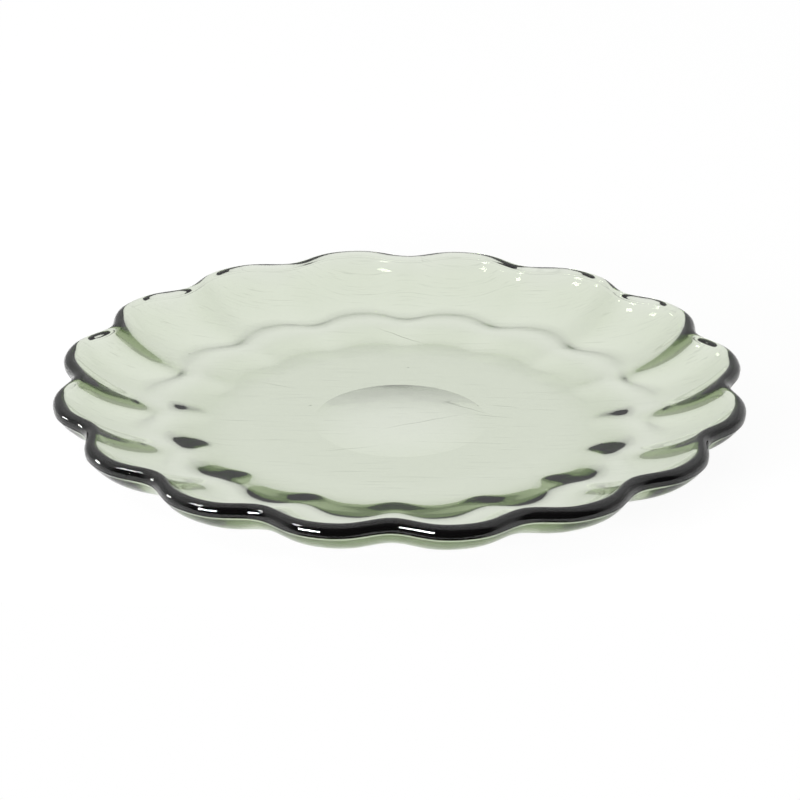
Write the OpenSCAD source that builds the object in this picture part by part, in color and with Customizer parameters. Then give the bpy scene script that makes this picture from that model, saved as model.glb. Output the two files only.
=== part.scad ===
// Scalloped breakfast plate, pressed from one gather of clear green glass.
// The plate stands on z = 0, its axis is Z, and the notch between two petals faces -Y.

/* [Overall] */
// Width across two opposite petals
overall_d = 210; // [190:1:235]
// Height from the table to the top of the rim
overall_h = 17.1; // [16:0.1:24]

/* [Petals] */
// Number of petals around the rim
petal_count = 16; // [10:1:20]
// How much further out a petal reaches than the notch beside it
petal_depth = 5.5; // [2:0.1:7]
// Share of the wave that flattens the petals and sharpens the notches
petal_flat_share = 0.156; // [0:0.002:0.22]
// Widths at which the petals start to show inside the plate, and are full
petals_in_from = 116; // [90:1:130]
petals_in_to = 156; // [148:1:175]
// The same two widths on the underside
petals_out_from = 70; // [60:1:120]
petals_out_to = 166; // [150:1:175]

/* [Rim] */
// Thickness of the rounded rim
rim_t = 4.8; // [3.6:0.1:5.2]
// Slope of the inside wall where it meets the rim, in degrees
rim_slope_in = 44; // [38:1:50]
// Slope of the outside of the rim where its round top ends, in degrees
rim_slope_out = 72; // [62:1:86]
// Height of the upright face below that
rim_face = 0.4; // [0.2:0.1:0.8]
// Radius of the small lip under that face
lip_r = 0.5; // [0.3:0.05:0.7]
// How far round the lip turns, in degrees
lip_turn = 62; // [50:1:66]
// Slope of the outside wall where it meets the lip, in degrees
lip_slope = 58; // [50:1:62]

/* [Well] */
// Thickness of the glass in the middle
base_t = 4.6; // [4:0.1:6]
// Width of the level middle of the well
middle_d = 92; // [80:1:100]
// Width at which the low step around the middle is steepest
step_d = 122; // [114:1:126]
// Slope of the step there, in degrees
step_slope = 7.6; // [3:0.1:9]
// Width at which the step ends in a narrow ledge, and the ledge's own slope, in degrees
ledge_d = 134; // [130:1:137]
ledge_slope = -1; // [-2:0.5:1]
// Width of the whole well, measured where the wall starts to rise
well_d = 140; // [138:1:148]
// Width at which the wall has curved up to its first slope
wall_d = 152; // [150:1:156]
// That first slope, in degrees
wall_slope = 8; // [5:0.1:14]

/* [Foot] */
// Width of the flat foot that the plate stands on
foot_d = 115; // [100:1:118]
// Widths between which the underside rises evenly around the foot
foot_rise_from = 125; // [121:1:130]
foot_rise_to = 138; // [132:1:142]
// Slope of that rise, in degrees
foot_rise_slope = 9; // [3:0.5:10]
// Width at which the underside is level again
web_d = 153; // [146:1:154]
// Width of the underside, measured where the outside wall starts to rise
belly_d = 156; // [155:1:160]
// Width at which the outside wall has curved up to its first slope
outer_d = 166.5; // [162:0.5:168]
// That first slope, in degrees
outer_slope = 14; // [4:0.5:18]

/* [Punch mark] */
// Width of the round hollow in the middle of the foot
mark_d = 52.6; // [30:0.1:80]
// Depth of that hollow
mark_depth = 0.95; // [0.4:0.05:1.5]

/* [Hidden] */
glass_green = [0.80, 0.86, 0.76, 0.6];
// Steps around each petal, and along each stretch of the cross-section
petal_steps = 10;
bend_steps = 2;
wall_steps = 6;
nose_in_steps = 2;
nose_out_steps = 4;
lip_steps = 3;
// How far the body reaches below the table, where the cutter takes it off
cut_over = 1;
// Facets of the exact round solids
smooth = 180;

// The petal wave: a main wave with one crest a petal, and one of half its length
wave = petal_depth / 2;
half_wave = -petal_flat_share * wave;
mean_r = overall_d / 2 - wave - half_wave;
angle_steps = petal_count * petal_steps;

// The nose is the round top of the rim, which ends in the upright face
nose_r = rim_t / 2;
nose_x = mean_r - nose_r;
nose_z = overall_h - nose_r;
nose_in = [nose_x - nose_r * sin(rim_slope_in), nose_z + nose_r * cos(rim_slope_in)];
nose_out = [nose_x + nose_r * sin(rim_slope_out), nose_z - nose_r * cos(rim_slope_out)];
face_end = nose_out - [0, rim_face];

// The round of the hollow is part of a ball
mark_r = mark_d / 2;
mark_ball_r = (mark_r * mark_r + mark_depth * mark_depth) / (2 * mark_depth);

// A direction that rises at a slope, away from the axis
function up_slope(slope) = [cos(slope), sin(slope)];

// A bend that leaves a at one slope and reaches radius r at another, without its first point
function bend(a, slope_a, r, slope_r) =
    let (run = r - a[0], rise = tan(slope_a), gain = tan(slope_r) - rise)
    [for (i = [1:bend_steps]) let (x = run * i / bend_steps)
        [a[0] + x, a[1] + rise * x + gain * x * x / (2 * run)]];

// One point of a cubic curve from a to d, with b and c as its handles
function curve_point(a, b, c, d, t) =
    pow(1 - t, 3) * a + 3 * pow(1 - t, 2) * t * b + 3 * (1 - t) * t * t * c + t * t * t * d;

// A curve from a to d that leaves and arrives at the given slopes, without its first point
function wall_curve(a, slope_a, d, slope_d) =
    let (handle = norm(d - a) / 3)
    [for (i = [1:wall_steps]) curve_point(
        a, a + handle * up_slope(slope_a), d - handle * up_slope(slope_d), d, i / wall_steps)];

// A point of the lip, where the upright face has turned in by an angle
function lip_point(turn) =
    face_end + lip_r * (up_slope(rim_slope_out - 90 - turn) - up_slope(rim_slope_out - 90));

function last(points) = points[len(points) - 1];

// Along the top, from the edge of the level middle to the rim
middle_edge = [middle_d / 2, base_t];
step_in = bend(middle_edge, 0, step_d / 2, step_slope);
step_out = bend(last(step_in), step_slope, ledge_d / 2, ledge_slope);
ledge_run = (well_d - ledge_d) / 2;
well_edge = last(step_out) + ledge_run * [1, tan(ledge_slope)];
wall_start = bend(well_edge, ledge_slope, wall_d / 2, wall_slope);
inside_wall = wall_curve(last(wall_start), wall_slope, nose_in, rim_slope_in);

// Over the nose, up the inside to its top and on down to the upright face
nose_out_turn = 180 - rim_slope_out;
nose_angles = concat(
    [for (i = [1:nose_in_steps]) 90 + rim_slope_in * (1 - i / nose_in_steps)],
    [for (i = [1:nose_out_steps - 1]) 90 - nose_out_turn * i / nose_out_steps]);
nose = [for (a = nose_angles) [nose_x + nose_r * cos(a), nose_z + nose_r * sin(a)]];

// Along the underside, from the edge of the foot to the rim
foot_edge = [foot_d / 2, 0];
rise_in = bend(foot_edge, 0, foot_rise_from / 2, foot_rise_slope);
rise_run = (foot_rise_to - foot_rise_from) / 2;
rise_end = last(rise_in) + rise_run * [1, tan(foot_rise_slope)];
rise_out = bend(rise_end, foot_rise_slope, web_d / 2, 0);
belly_edge = [belly_d / 2, last(rise_out)[1]];
outer_start = bend(belly_edge, 0, outer_d / 2, outer_slope);
outside_wall = wall_curve(last(outer_start), outer_slope, lip_point(lip_turn), lip_slope);
lip = [for (i = [1:lip_steps]) lip_point(lip_turn * (1 - i / lip_steps))];

// The foot's edge is where the table cuts the body, which runs on a little below it
foot_run = foot_edge - cut_over * [1, 1];
top = concat([middle_edge], step_in, step_out, [well_edge], wall_start, inside_wall, nose);
underside = concat([foot_run], rise_in, [rise_end], rise_out, [belly_edge], outer_start,
    outside_wall, lip, [nose_out]);
under_rings = len(underside);
rings = len(top) + under_rings;

// How far the petals show at a radius, from nothing up to 1
function petal_share(r, from, to) =
    let (t = min(max((r - from) / (to - from), 0), 1)) t * t * (3 - 2 * t);

// The whole cross-section from the well over the rim to the foot, as [radius, height, petal share]
section = concat(
    [for (p = top) [p[0], p[1], petal_share(2 * p[0], petals_in_from, petals_in_to)]],
    [for (i = [1:under_rings]) let (p = underside[under_rings - i])
        [p[0], p[1], petal_share(2 * p[0], petals_out_from, petals_out_to)]]);

// How far the petal wave moves a point outwards at an angle from the front notch
function petal_wave(angle) =
    -wave * cos(petal_count * angle) + half_wave * cos(2 * petal_count * angle);

function ring_point(p, angle) =
    let (r = p[0] + p[2] * petal_wave(angle)) [-r * sin(angle), -r * cos(angle), p[1]];

// The body of the plate, a little too deep below the table
module pressed_body() {
    angle_step = 360 / angle_steps;
    ring_points = [for (p = section, j = [0:angle_steps - 1]) ring_point(p, j * angle_step)];
    top_centre = rings * angle_steps;
    foot_centre = top_centre + 1;
    points = concat(ring_points, [[0, 0, base_t], [0, 0, foot_run[1]]]);
    walls = [for (i = [0:rings - 2], j = [0:angle_steps - 1])
        let (k = (j + 1) % angle_steps, a = i * angle_steps, b = a + angle_steps)
        each [[a + j, b + k, b + j], [a + j, a + k, b + k]]];
    caps = [for (j = [0:angle_steps - 1])
        let (k = (j + 1) % angle_steps, b = (rings - 1) * angle_steps)
        each [[top_centre, k, j], [foot_centre, b + j, b + k]]];
    polyhedron(points, concat(walls, caps), convexity = 6);
}

// What is ground off below the table, so that the foot is flat
module table_cut() {
    translate([0, 0, -2 * cut_over])
        cylinder(h = 2 * cut_over, r = belly_edge[0], $fn = smooth);
}

// The shallow round hollow that the punch leaves in the foot
module punch_mark() {
    translate([0, 0, mark_depth - mark_ball_r]) sphere(r = mark_ball_r, $fn = smooth);
}

module glass_plate() {
    color(glass_green) difference() {
        pressed_body();
        table_cut();
        punch_mark();
    }
}

glass_plate();
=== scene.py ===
"""Scalloped breakfast plate of pressed green glass, standing on a plain white table."""

import math

import bmesh
import bpy
from mathutils import Matrix, Vector


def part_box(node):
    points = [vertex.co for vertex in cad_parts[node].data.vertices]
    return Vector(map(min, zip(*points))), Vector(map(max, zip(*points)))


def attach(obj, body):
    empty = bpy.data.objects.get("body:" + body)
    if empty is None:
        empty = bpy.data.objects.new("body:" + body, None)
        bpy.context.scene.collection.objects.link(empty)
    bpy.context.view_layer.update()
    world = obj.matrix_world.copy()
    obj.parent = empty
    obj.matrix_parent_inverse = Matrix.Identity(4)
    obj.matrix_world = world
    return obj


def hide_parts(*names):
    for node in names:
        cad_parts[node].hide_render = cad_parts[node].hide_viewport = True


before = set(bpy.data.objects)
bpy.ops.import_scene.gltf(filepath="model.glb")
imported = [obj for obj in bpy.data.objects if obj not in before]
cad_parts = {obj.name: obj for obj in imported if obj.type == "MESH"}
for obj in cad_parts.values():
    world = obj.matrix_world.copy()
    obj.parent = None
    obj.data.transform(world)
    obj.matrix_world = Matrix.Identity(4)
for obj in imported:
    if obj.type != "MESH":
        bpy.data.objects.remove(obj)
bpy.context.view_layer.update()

bl_info = {
    "name": "Pressed glass plate",
    "version": (1, 0, 0),
    "blender": (4, 5, 0),
    "location": "3D View > Sidebar > Plate",
    "description": "Makes a scalloped plate of pressed green glass and the white table it stands on",
    "category": "Object",
}

MM = 0.001
PLATE_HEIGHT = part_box("glass_plate")[1].z
WHITE = (1, 1, 1, 1)


def srgb(code):
    """The linear colour of a six-digit sRGB hex code."""
    parts = [int(code[i:i + 2], 16) / 255 for i in (0, 2, 4)]
    return tuple(p / 12.92 if p <= 0.04045 else ((p + 0.055) / 1.055) ** 2.4 for p in parts)


def length(name, about, millimetres):
    """A length that the user may change, given here in millimetres."""
    return bpy.props.FloatProperty(
        name=name, description=about, default=millimetres * MM, subtype="DISTANCE", unit="LENGTH")


def slope(name, about, degrees):
    """A slope that the user may change, given here in degrees."""
    return bpy.props.FloatProperty(
        name=name, description=about, default=math.radians(degrees), subtype="ANGLE")


def colour(name, about, code):
    """A colour that the user may change, given here as an sRGB hex code."""
    return bpy.props.FloatVectorProperty(
        name=name, description=about, default=srgb(code), size=3, min=0, max=1, subtype="COLOR")


class PlateSizes(bpy.types.PropertyGroup):
    """Sizes of the plate, which follow the part's own."""

    width: length("Width", "Width across two opposite petals", 210)
    height: length("Height", "Height from the table to the top of the rim", PLATE_HEIGHT / MM)
    petals: bpy.props.IntProperty(
        name="Petals", description="Number of petals round the rim", default=16, min=10, max=20)
    petal_depth: length("Petal depth", "How much further out a petal reaches than a notch", 5.5)
    petal_flat: bpy.props.FloatProperty(
        name="Petal flatness", description="Share of the wave that flattens the petals",
        default=0.156, min=0, max=0.22)
    petals_in_from: length("Petals inside from", "Width at which they start to show inside", 116)
    petals_in_to: length("Petals inside to", "Width at which they are full inside", 156)
    petals_out_from: length("Petals outside from", "The same start on the underside", 70)
    petals_out_to: length("Petals outside to", "The same full width on the underside", 166)
    rim: length("Rim", "Thickness of the rounded rim", 4.8)
    rim_slope_in: slope("Inside slope", "Slope of the inside wall where it meets the rim", 44)
    rim_slope_out: slope("Outside slope", "Slope of the outside where the round top ends", 72)
    rim_face: length("Rim face", "Height of the upright face below that", 0.4)
    lip: length("Lip", "Radius of the small round under the rim", 0.5)
    lip_turn: slope("Lip turn", "How far round the lip turns", 62)
    lip_slope: slope("Lip slope", "Slope of the outside wall where it meets the lip", 58)
    base: length("Base", "Thickness of the glass in the middle", 4.6)
    middle: length("Middle", "Width of the level middle of the well", 92)
    step: length("Step", "Width at which the low step around the middle is steepest", 122)
    step_slope: slope("Step slope", "Slope of the step there", 7.6)
    ledge: length("Ledge", "Width at which the step ends in a narrow ledge", 134)
    ledge_slope: slope("Ledge slope", "Slope of the ledge", -1)
    well: length("Well", "Width of the well, to where the wall starts to rise", 140)
    wall: length("Wall", "Width at which the wall has curved up to its first slope", 152)
    wall_slope: slope("Wall slope", "That first slope", 8)
    foot: length("Foot", "Width of the flat foot", 115)
    rise_from: length("Rise from", "Width at which the rise around the foot is steep", 125)
    rise_to: length("Rise to", "Width at which that rise eases off again", 138)
    rise_slope: slope("Rise slope", "Slope of the rise around the foot", 9)
    web: length("Web", "Width at which the underside is level again", 153)
    belly: length("Belly", "Width at which the outside wall starts to rise", 156)
    outer: length("Outer wall", "Width at which it has curved up to its first slope", 166.5)
    outer_slope: slope("Outer slope", "That first slope", 14)
    mark: length("Punch mark", "Width of the round hollow under the middle", 52.6)
    mark_depth: length("Punch mark depth", "Depth of that hollow", 0.95)


class GlassLook(bpy.types.PropertyGroup):
    """Colours of the plate and of the stage."""

    green: colour("Glass green", "Colour of white light after it has crossed the tint depth", "C4CEB5")
    tint_depth: length("Tint depth", "Thickness of glass that gives that colour", 10)
    lamp_green: colour("Lamp tint", "Colour of the lamps' light under the glass", "E7EDDE")
    grazed: colour("Grazed lamp tint", "The same where that light grazes the glass", "3F453F")
    wear: colour("Wear", "Colour of the deepest scratches in the well", "5C6257")
    table: colour("Table", "Colour of the table", "E7E7E7")


# Steps of the mesh: round each petal, and along each stretch of the cross-section
PETAL_STEPS = 24
FLAT_STEPS = 10
BEND_STEPS = 12
WALL_STEPS = 24
NOSE_STEPS = 22
FACE_STEPS = 6
LIP_STEPS = 8
# How near a crease the rings beside it lie, so that it stays crisp
CREASE = 0.15 * MM
# Vertices nearer than this are one, where the spin meets itself and along the axis
MERGE = 0.0001 * MM


def along(angle):
    """A direction that rises at an angle, away from the axis."""
    return Vector((math.cos(angle), math.sin(angle)))


def bend(start, start_slope, radius, end_slope):
    """Points of a curve that turns evenly from one slope to another, without its first."""
    run, rise = radius - start.x, math.tan(start_slope)
    gain = (math.tan(end_slope) - rise) / (2 * run)
    distances = [run * i / BEND_STEPS for i in range(1, BEND_STEPS + 1)]
    return [start + Vector((x, rise * x + gain * x * x)) for x in distances]


def wall(start, start_slope, end, end_slope):
    """Points of a cubic curve that leaves and arrives at the given slopes, without its first."""
    reach = (end - start).length / 3
    b = start + reach * along(start_slope)
    c = end - reach * along(end_slope)
    points = []
    for i in range(1, WALL_STEPS + 1):
        t = i / WALL_STEPS
        s = 1 - t
        points.append(s ** 3 * start + 3 * s * s * t * b + 3 * s * t * t * c + t ** 3 * end)
    return points


def between(start, end, count):
    """Evenly spaced numbers after the start and before the end."""
    return [start + (end - start) * i / count for i in range(1, count)]


def top_outline(sizes, nose_in):
    """The top from the axis to where the rim's nose begins."""
    points = [Vector((r, sizes.base)) for r in [0, *between(0, sizes.middle / 2, FLAT_STEPS)]]
    points += [Vector((sizes.middle / 2, sizes.base))]
    points += bend(points[-1], 0, sizes.step / 2, sizes.step_slope)
    points += bend(points[-1], sizes.step_slope, sizes.ledge / 2, sizes.ledge_slope)
    points += bend(points[-1], sizes.ledge_slope, sizes.well / 2, sizes.ledge_slope)
    points += bend(points[-1], sizes.ledge_slope, sizes.wall / 2, sizes.wall_slope)
    return points + wall(points[-1], sizes.wall_slope, nose_in, sizes.rim_slope_in)


def under_outline(sizes, nose_out):
    """The underside from the axis to where the rim's nose ends."""
    mark, depth = sizes.mark / 2, sizes.mark_depth
    ball = (mark ** 2 + depth ** 2) / (2 * depth)
    hollow = [0, *between(0, mark, FLAT_STEPS), mark - CREASE, mark]
    points = [Vector((r, depth - ball + math.sqrt(ball ** 2 - r ** 2))) for r in hollow]
    points += [Vector((r, 0)) for r in [mark + CREASE, *between(mark, sizes.foot / 2, FLAT_STEPS)]]
    points += [Vector((sizes.foot / 2, 0))]
    points += bend(points[-1], 0, sizes.rise_from / 2, sizes.rise_slope)
    points += bend(points[-1], sizes.rise_slope, sizes.rise_to / 2, sizes.rise_slope)
    points += bend(points[-1], sizes.rise_slope, sizes.web / 2, 0)
    points += bend(points[-1], 0, sizes.belly / 2, 0)
    points += bend(points[-1], 0, sizes.outer / 2, sizes.outer_slope)
    edge = edge_outline(sizes, nose_out)
    points += wall(points[-1], sizes.outer_slope, edge[-1], sizes.lip_slope)
    return points + edge[-2::-1]


def edge_outline(sizes, nose_out):
    """The rim's outside from the end of its nose: down the upright face and round the lip."""
    drops = [0, *between(0, sizes.rim_face, FACE_STEPS)]
    face = [nose_out - Vector((0, drop)) for drop in drops]
    start = sizes.rim_slope_out - math.pi / 2
    end = start - sizes.lip_turn
    centre = nose_out - Vector((0, sizes.rim_face)) - sizes.lip * along(start)
    turns = [start, *between(start, end, LIP_STEPS), end]
    return face + [centre + sizes.lip * along(a) for a in turns]


def cross_section(sizes, mean_radius):
    """Half the plate's outline, from axis to axis, as (point, share of the petals) pairs."""
    nose = sizes.rim / 2
    centre = Vector((mean_radius - nose, sizes.height - nose))
    turn_in = math.pi / 2 + sizes.rim_slope_in
    turn_out = sizes.rim_slope_out - math.pi / 2
    top = top_outline(sizes, centre + nose * along(turn_in))
    rim = [centre + nose * along(a) for a in between(turn_in, turn_out, NOSE_STEPS)]
    under = under_outline(sizes, centre + nose * along(turn_out))
    inside = (sizes.petals_in_from / 2, sizes.petals_in_to / 2)
    outside = (sizes.petals_out_from / 2, sizes.petals_out_to / 2)
    outline = [(p, ease(p.x, *inside)) for p in top + rim]
    return outline + [(p, ease(p.x, *outside)) for p in reversed(under)]


def ease(value, start, end):
    """Nought before the start, one after the end, and a smooth rise between."""
    t = min(max((value - start) / (end - start), 0), 1)
    return t * t * (3 - 2 * t)


def spun_plate(sizes):
    """The plate as one closed skin: its cross-section spun round the axis."""
    wave = sizes.petal_depth / 2
    half_wave = -sizes.petal_flat * wave
    mesh = bmesh.new()
    petal_share = mesh.verts.layers.float.new("petal_share")
    outline = []
    for point, share in cross_section(sizes, sizes.width / 2 - wave - half_wave):
        vertex = mesh.verts.new((0, -point.x, point.y))
        vertex[petal_share] = share
        outline.append(vertex)
    edges = [mesh.edges.new(pair) for pair in zip(outline, outline[1:])]
    bmesh.ops.spin(
        mesh, geom=outline + edges, cent=(0, 0, 0), axis=(0, 0, 1), dvec=(0, 0, 0),
        angle=-2 * math.pi, steps=sizes.petals * PETAL_STEPS, use_merge=True,
        use_normal_flip=False, use_duplicate=False)
    bmesh.ops.remove_doubles(mesh, verts=mesh.verts[:], dist=MERGE)
    wave_petals(mesh, petal_share, sizes.petals, wave, half_wave)
    bmesh.ops.recalc_face_normals(mesh, faces=mesh.faces[:])
    for face in mesh.faces:
        face.smooth = True
    return mesh


def wave_petals(mesh, petal_share, petals, wave, half_wave):
    """Moves the skin out in each petal and in at each notch, with a notch facing the front."""
    for vertex in mesh.verts:
        share = vertex[petal_share]
        if not share:
            continue
        turn = petals * math.atan2(-vertex.co.x, -vertex.co.y)
        move = -wave * math.cos(turn) + half_wave * math.cos(2 * turn)
        grow = 1 + share * move / math.hypot(vertex.co.x, vertex.co.y)
        vertex.co.x *= grow
        vertex.co.y *= grow


def new_piece(name, mesh, material):
    """Turns a finished mesh into a piece of the scene."""
    data = bpy.data.meshes.new(name)
    mesh.to_mesh(data)
    mesh.free()
    data.materials.append(material)
    piece = bpy.data.objects.new(name, data)
    bpy.context.scene.collection.objects.link(piece)
    return piece


def add_node(tree, kind, settings=None, inputs=None):
    """Adds a node, sets its settings, and gives its inputs values or links."""
    node = tree.nodes.new(kind)
    for name, value in (settings or {}).items():
        setattr(node, name, value)
    for socket, value in (inputs or {}).items():
        if isinstance(value, bpy.types.NodeSocket):
            tree.links.new(value, node.inputs[socket])
        else:
            node.inputs[socket].default_value = value
    return node


def new_tree(owner):
    """The empty node tree of a material or a world."""
    owner.use_nodes = True
    owner.node_tree.nodes.clear()
    return owner.node_tree


# Marks of use on the well as (x, y, turn, length, width), in millimetres and degrees: the long
# cutlery scratches behind and beside the middle first, then the pits
WELL_MARKS = (
    (0, 59, -33, 24, 0.5),
    (20, 7, -32, 22, 0.5),
    (7, -4, 25, 34, 0.45),
    (28, 1, -12, 18, 0.4),
    (32, 8, -11, 12, 0.4),
    (16, 10, -29, 9, 0.7),
    (15, 11, 50, 5, 0.5),
    (-14, -24, 14, 20, 0.35),
    (-38, 22, -20, 16, 0.35),
    (2, 36.5, 0, 0.9, 0.9),
    (-27, 7, 0, 1.4, 1),
    (13.5, 10, 0, 1.2, 1),
    (24, 8.5, 0, 0.9, 0.9),
    (-66.5, 41.5, 0, 1, 1),
)
# The marks lie about this high, on the top side only
MARKS_LEVEL = 5.5 * MM
MARKS_REACH = 3 * MM
# How far they waver sideways, and over what length
WAVER = 1.2 * MM
WAVER_LENGTH = 4.545 * MM

# Hair scratches run left to right. Sizes of their pattern along a hair, across it and in depth
HAIR_SIZE = (16.67 * MM, 0.667 * MM, 3.33 * MM)
# The pattern is turned a little, off its own grid
HAIR_TURN = math.radians(9)
# Levels of the pattern at which a hair starts to show, and is full
HAIR_LEVELS = (0.6, 0.8)
# How worn the glass is in a full hair
HAIR_WEAR = 0.35
# Heights between which the wear sets in, so that the foot has none
WEAR_HEIGHTS = (4 * MM, 4.5 * MM)

# Height and length of the waves that the mould leaves in the glass
WAVINESS = 0.06 * MM
WAVE_LENGTH = 12.5 * MM
# The finer ripple on them, and its share of their height
RIPPLE_LENGTH = 2.38 * MM
RIPPLE_SHARE = 0.07

GLASS_IOR = 1.5
WORN_ROUGHNESS = 0.3
# The tint's density over its greatest loss, so that none of its three colours reaches nought
TINT_HEADROOM = 1.25


def well_marks(tree, place):
    """How scratched the glass is at a place, from nought to one."""
    waver = add_node(tree, "ShaderNodeTexNoise", inputs={
        "Vector": place, "Scale": 1 / WAVER_LENGTH, "Detail": 2})
    drift = add_node(tree, "ShaderNodeVectorMath", {"operation": "MULTIPLY_ADD"}, {
        0: waver.outputs["Color"], 1: (WAVER, WAVER, 0), 2: place})
    worn = 0
    for x, y, turn, long, wide in WELL_MARKS:
        near = add_node(tree, "ShaderNodeMapping", {"vector_type": "TEXTURE"}, {
            "Vector": drift.outputs[0], "Location": (x * MM, y * MM, MARKS_LEVEL),
            "Rotation": (0, 0, math.radians(turn)),
            "Scale": (long / 2 * MM, wide / 2 * MM, MARKS_REACH)})
        away = add_node(tree, "ShaderNodeVectorMath", {"operation": "LENGTH"}, {0: near.outputs[0]})
        mark = add_node(tree, "ShaderNodeMapRange", inputs={
            "Value": away.outputs["Value"], "To Min": 1, "To Max": 0})
        worn = add_node(tree, "ShaderNodeMath", {"operation": "MAXIMUM"}, {
            0: mark.outputs[0], 1: worn}).outputs[0]
    return worn


def fine_wear(tree, place):
    """Hair scratches that plates and cutlery rub into the glass, all much the same way."""
    stretched = add_node(tree, "ShaderNodeMapping", inputs={
        "Vector": place, "Rotation": (0, 0, HAIR_TURN), "Scale": [1 / size for size in HAIR_SIZE]})
    hair = add_node(tree, "ShaderNodeTexNoise", inputs={
        "Vector": stretched.outputs[0], "Scale": 1, "Detail": 3, "Roughness": 0.6})
    faint, full = HAIR_LEVELS
    lines = add_node(tree, "ShaderNodeMapRange", inputs={
        "Value": hair.outputs[0], "From Min": faint, "From Max": full, "To Max": HAIR_WEAR})
    height = add_node(tree, "ShaderNodeSeparateXYZ", inputs={0: place}).outputs["Z"]
    low, high = WEAR_HEIGHTS
    above_foot = add_node(tree, "ShaderNodeMapRange", inputs={
        "Value": height, "From Min": low, "From Max": high})
    return add_node(tree, "ShaderNodeMath", {"operation": "MULTIPLY"}, {
        0: lines.outputs[0], 1: above_foot.outputs[0]}).outputs[0]


def mould_waviness(tree, place):
    """The faint waves that the mould's chill leaves in pressed glass, and a finer ripple on them."""
    waves = add_node(tree, "ShaderNodeTexNoise", inputs={
        "Vector": place, "Scale": 1 / WAVE_LENGTH, "Detail": 1})
    ripple = add_node(tree, "ShaderNodeTexNoise", inputs={
        "Vector": place, "Scale": 1 / RIPPLE_LENGTH, "Detail": 2})
    height = add_node(tree, "ShaderNodeMath", {"operation": "MULTIPLY_ADD"}, {
        0: ripple.outputs[0], 1: RIPPLE_SHARE, 2: waves.outputs[0]})
    bump = add_node(tree, "ShaderNodeBump", inputs={
        "Height": height.outputs[0], "Distance": WAVINESS, "Strength": 1})
    return bump.outputs[0]


def pressed_soda_glass(look):
    """Soda-lime glass pressed in a mould and fire-polished: clear right through, tinted a greyish
    green by a trace of iron, so that it is pale where it is thin and almost black along the rim,
    where the eye looks through a great length of it. Its skin is faintly wavy, which bends the
    edges of what shows through it. The well has the scratches and pits of use, and hair scratches
    reach from there up to the rim."""
    material = bpy.data.materials.new("pressed_soda_glass")
    tree = new_tree(material)
    place = add_node(tree, "ShaderNodeTexCoord").outputs["Object"]
    worn = add_node(tree, "ShaderNodeMath", {"operation": "MAXIMUM"}, {
        0: well_marks(tree, place), 1: fine_wear(tree, place)}).outputs[0]
    skin = add_node(tree, "ShaderNodeMix", {"data_type": "RGBA"}, {
        "Factor": worn, "A": WHITE, "B": (*look.wear, 1)})
    rough = add_node(tree, "ShaderNodeMapRange", inputs={"Value": worn, "To Max": WORN_ROUGHNESS})
    body = add_node(tree, "ShaderNodeBsdfPrincipled", inputs={
        "Base Color": skin.outputs["Result"], "Roughness": rough.outputs[0], "IOR": GLASS_IOR,
        "Transmission Weight": 1, "Normal": mould_waviness(tree, place)})
    # Lamps reach the table through the glass, less where they meet it at a low angle
    glancing = add_node(tree, "ShaderNodeLayerWeight", inputs={"Blend": 0.5}).outputs["Facing"]
    passing = add_node(tree, "ShaderNodeMix", {"data_type": "RGBA"}, {
        "Factor": glancing, "A": (*look.lamp_green, 1), "B": (*look.grazed, 1)})
    lamp_light = add_node(tree, "ShaderNodeBsdfTransparent", inputs={"Color": passing.outputs["Result"]})
    shadow_ray = add_node(tree, "ShaderNodeLightPath").outputs["Is Shadow Ray"]
    surface = add_node(tree, "ShaderNodeMixShader", inputs={
        0: shadow_ray, 1: body.outputs[0], 2: lamp_light.outputs[0]})
    # How much of each colour is lost along a metre of glass
    loss = [-math.log(c) / look.tint_depth for c in look.green]
    density = TINT_HEADROOM * max(loss)
    tint = add_node(tree, "ShaderNodeVolumeAbsorption", inputs={
        "Color": (*[1 - x / density for x in loss], 1), "Density": density})
    add_node(tree, "ShaderNodeOutputMaterial", inputs={
        "Surface": surface.outputs[0], "Volume": tint.outputs[0]})
    return material


# Share of the table's colour that is plain white to the camera; the rest is lit, and shows shade
TABLE_WHITE = 0.95
# The same share where the table is mirrored in the glass
MIRROR_WHITE = 0.4
# The table reaches half its width to each side and behind
TABLE_WIDTH = 6.0
# It ends close in front of the plate, so that the rim mirrors the dark room there
TABLE_FRONT = 118 * MM
# It lies a hair below the foot, so that the two faces stay apart
TABLE_GAP = 0.05 * MM

# The studio's light by direction, as (axis, from, to, level before, level after): pale walls under
# white, and a dark room behind the camera
ROOM_LIGHT = (
    ("Z", 0.45, 0.66, 0.62, 1.0),
    ("Y", -0.5, -0.16, 0.15, 1.0),
)

# Lamps as (name, turn from the front, elevation, distance, width, height, watts), in degrees and
# metres
LAMPS = (
    ("front_box", -35, 12, 1.2, 0.6, 0.3, 50.0),
    ("left_box", -100, 10, 1.2, 0.2, 0.2, 4.0),
    ("left_window", -66, 45, 1.2, 0.25, 0.25, 4.0),
    ("right_wall", 140, 12, 1.0, 0.7, 0.44, 0.2),
)

# The camera, as found from the plate's outline in the photograph, in degrees and metres, with its
# sensor and lens in millimetres
CAMERA_ELEVATION = 24.436
CAMERA_TURN = 1.362
CAMERA_ROLL = 0.132
CAMERA_DISTANCE = 1.17592
CAMERA_BELOW_RIM = 11.9 * MM
CAMERA_SENSOR = 36
CAMERA_LENS = 174.485
CAMERA_SHIFT = (-0.00031, 0.016876)
CAMERA_CLIP = (0.01, 50)

# How many times light may pass through the glass's skin, and be mirrored by it
GLASS_BOUNCES = 24
MIRROR_BOUNCES = 16


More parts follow.
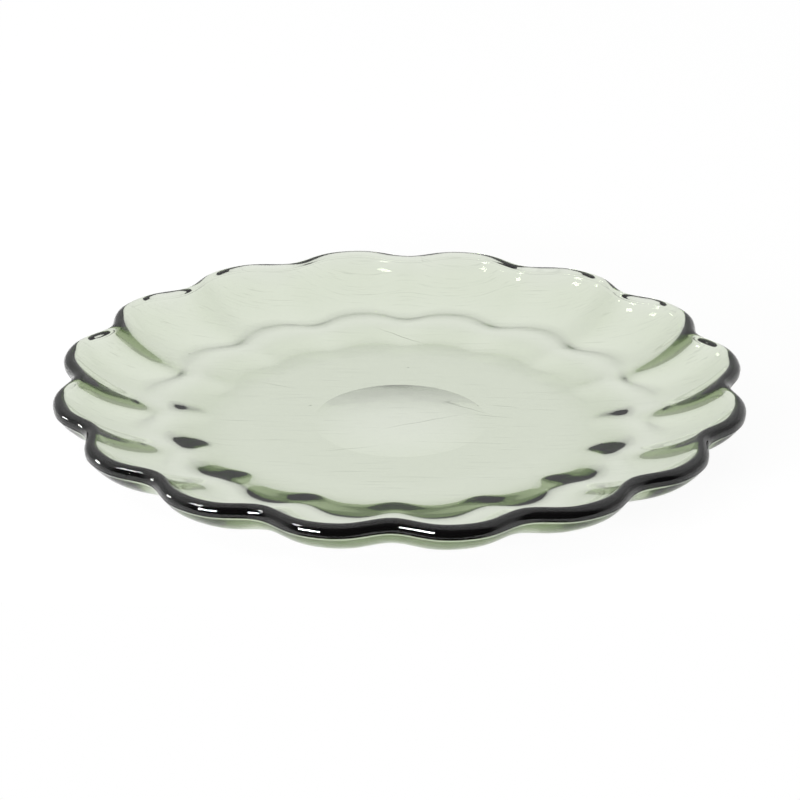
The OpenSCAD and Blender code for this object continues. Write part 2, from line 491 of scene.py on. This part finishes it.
def white_table_card(look):
    """Matt white card. It is plain white where it shows through the glass, nearly so where the
    camera sees it, which leaves a trace of the plate's shadow, and darker where it is mirrored."""
    material = bpy.data.materials.new("white_table_card")
    tree = new_tree(material)
    card = add_node(tree, "ShaderNodeBsdfDiffuse", inputs={"Color": (*look.table, 1)})
    white = add_node(tree, "ShaderNodeEmission", inputs={"Strength": 1})
    rays = add_node(tree, "ShaderNodeLightPath")
    seen = add_node(tree, "ShaderNodeMath", {"operation": "MULTIPLY"}, {
        0: rays.outputs["Is Camera Ray"], 1: TABLE_WHITE})
    mirrored = add_node(tree, "ShaderNodeMath", {"operation": "MULTIPLY_ADD"}, {
        0: rays.outputs["Is Glossy Ray"], 1: MIRROR_WHITE, 2: seen.outputs[0]})
    plain = add_node(tree, "ShaderNodeMath", {"operation": "MAXIMUM"}, {
        0: mirrored.outputs[0], 1: rays.outputs["Is Transmission Ray"]})
    surface = add_node(tree, "ShaderNodeMixShader", inputs={
        0: plain.outputs[0], 1: card.outputs[0], 2: white.outputs[0]})
    add_node(tree, "ShaderNodeOutputMaterial", inputs={"Surface": surface.outputs[0]})
    return material


def outwards(turn, elevation):
    """A direction away from the plate, by its turn from the front and its elevation in degrees."""
    a, e = math.radians(turn), math.radians(elevation)
    return Vector((math.sin(a) * math.cos(e), -math.cos(a) * math.cos(e), math.sin(e)))


def white_table(look):
    """The level card that the plate stands on."""
    mesh = bmesh.new()
    side = TABLE_WIDTH / 2
    corners = ((-side, -TABLE_FRONT), (side, -TABLE_FRONT), (side, side), (-side, side))
    mesh.faces.new([mesh.verts.new((x, y, -TABLE_GAP)) for x, y in corners])
    new_piece("table", mesh, white_table_card(look))


def studio_light(scene):
    """The light of the room itself, which the camera sees as plain white."""
    scene.world = bpy.data.worlds.new("studio")
    tree = new_tree(scene.world)
    direction = add_node(tree, "ShaderNodeTexCoord").outputs["Generated"]
    way = add_node(tree, "ShaderNodeSeparateXYZ", inputs={0: direction})
    level = 1
    for axis, start, end, before, after in ROOM_LIGHT:
        share = add_node(tree, "ShaderNodeMapRange", inputs={
            "Value": way.outputs[axis], "From Min": start, "From Max": end,
            "To Min": before, "To Max": after})
        level = add_node(tree, "ShaderNodeMath", {"operation": "MULTIPLY"}, {
            0: share.outputs[0], 1: level}).outputs[0]
    seen = add_node(tree, "ShaderNodeLightPath").outputs["Is Camera Ray"]
    light = add_node(tree, "ShaderNodeMix", {"data_type": "RGBA"}, {
        "Factor": seen, "A": level, "B": WHITE})
    studio = add_node(tree, "ShaderNodeBackground", inputs={"Color": light.outputs["Result"]})
    add_node(tree, "ShaderNodeOutputWorld", inputs={"Surface": studio.outputs[0]})


def hang_lamps(scene):
    """The studio's rectangular lamps, which all face the plate."""
    for name, turn, elevation, distance, width, tall, watts in LAMPS:
        lamp = bpy.data.lights.new(name, "AREA")
        lamp.shape, lamp.size, lamp.size_y, lamp.energy = "RECTANGLE", width, tall, watts
        holder = bpy.data.objects.new(name, lamp)
        scene.collection.objects.link(holder)
        back = outwards(turn, elevation)
        holder.location = back * distance
        holder.rotation_euler = (-back).to_track_quat("-Z", "Y").to_euler()


def place_camera(scene):
    """The camera, where the photograph was taken from."""
    lens = bpy.data.cameras.new("camera")
    lens.sensor_width, lens.lens = CAMERA_SENSOR, CAMERA_LENS
    lens.shift_x, lens.shift_y = CAMERA_SHIFT
    lens.clip_start, lens.clip_end = CAMERA_CLIP
    camera = bpy.data.objects.new("camera", lens)
    scene.collection.objects.link(camera)
    back = outwards(CAMERA_TURN, CAMERA_ELEVATION)
    camera.location = Vector((0, 0, PLATE_HEIGHT - CAMERA_BELOW_RIM)) + back * CAMERA_DISTANCE
    camera.rotation_mode = "QUATERNION"
    roll = Matrix.Rotation(math.radians(CAMERA_ROLL), 4, "Z").to_quaternion()
    camera.rotation_quaternion = (-back).to_track_quat("-Z", "Y") @ roll
    scene.camera = camera


class PLATE_OT_pressed_glass(bpy.types.Operator):
    """Make the plate: a pressed glass well, fluted wall and rounded rim in one piece"""

    bl_idname = "plate.pressed_glass"
    bl_label = "Pressed glass plate"

    def execute(self, context):
        sizes, look = context.scene.plate_sizes, context.scene.plate_look
        plate = new_piece("plate_glass", spun_plate(sizes), pressed_soda_glass(look))
        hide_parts("glass_plate")
        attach(plate, "root")
        return {"FINISHED"}


class PLATE_OT_stage(bpy.types.Operator):
    """Make the stage: the white table, the studio's light, its lamps and the camera"""

    bl_idname = "plate.stage"
    bl_label = "Table, light and camera"

    def execute(self, context):
        scene = context.scene
        white_table(scene.plate_look)
        studio_light(scene)
        hang_lamps(scene)
        place_camera(scene)
        scene.view_settings.view_transform = "Standard"
        scene.cycles.max_bounces = GLASS_BOUNCES
        scene.cycles.transmission_bounces = GLASS_BOUNCES
        scene.cycles.glossy_bounces = MIRROR_BOUNCES
        scene.cycles.caustics_refractive = False
        scene.cycles.caustics_reflective = False
        return {"FINISHED"}


class PLATE_PT_panel(bpy.types.Panel):
    """The plate's sizes, its colours and the buttons that make it"""

    bl_idname = "PLATE_PT_panel"
    bl_label = "Pressed glass plate"
    bl_space_type = "VIEW_3D"
    bl_region_type = "UI"
    bl_category = "Plate"

    def draw(self, context):
        for group in (context.scene.plate_sizes, context.scene.plate_look):
            box = self.layout.box()
            for name in group.__annotations__:
                box.prop(group, name)
        self.layout.operator(PLATE_OT_pressed_glass.bl_idname)
        self.layout.operator(PLATE_OT_stage.bl_idname)


CLASSES = (PlateSizes, GlassLook, PLATE_OT_pressed_glass, PLATE_OT_stage, PLATE_PT_panel)


def register():
    for kind in CLASSES:
        bpy.utils.register_class(kind)
    bpy.types.Scene.plate_sizes = bpy.props.PointerProperty(type=PlateSizes)
    bpy.types.Scene.plate_look = bpy.props.PointerProperty(type=GlassLook)


def unregister():
    del bpy.types.Scene.plate_look
    del bpy.types.Scene.plate_sizes
    for kind in reversed(CLASSES):
        bpy.utils.unregister_class(kind)


def main():
    """Makes the plate and its stage."""
    register()
    bpy.ops.plate.pressed_glass()
    bpy.ops.plate.stage()


if __name__ == "__main__":
    main()
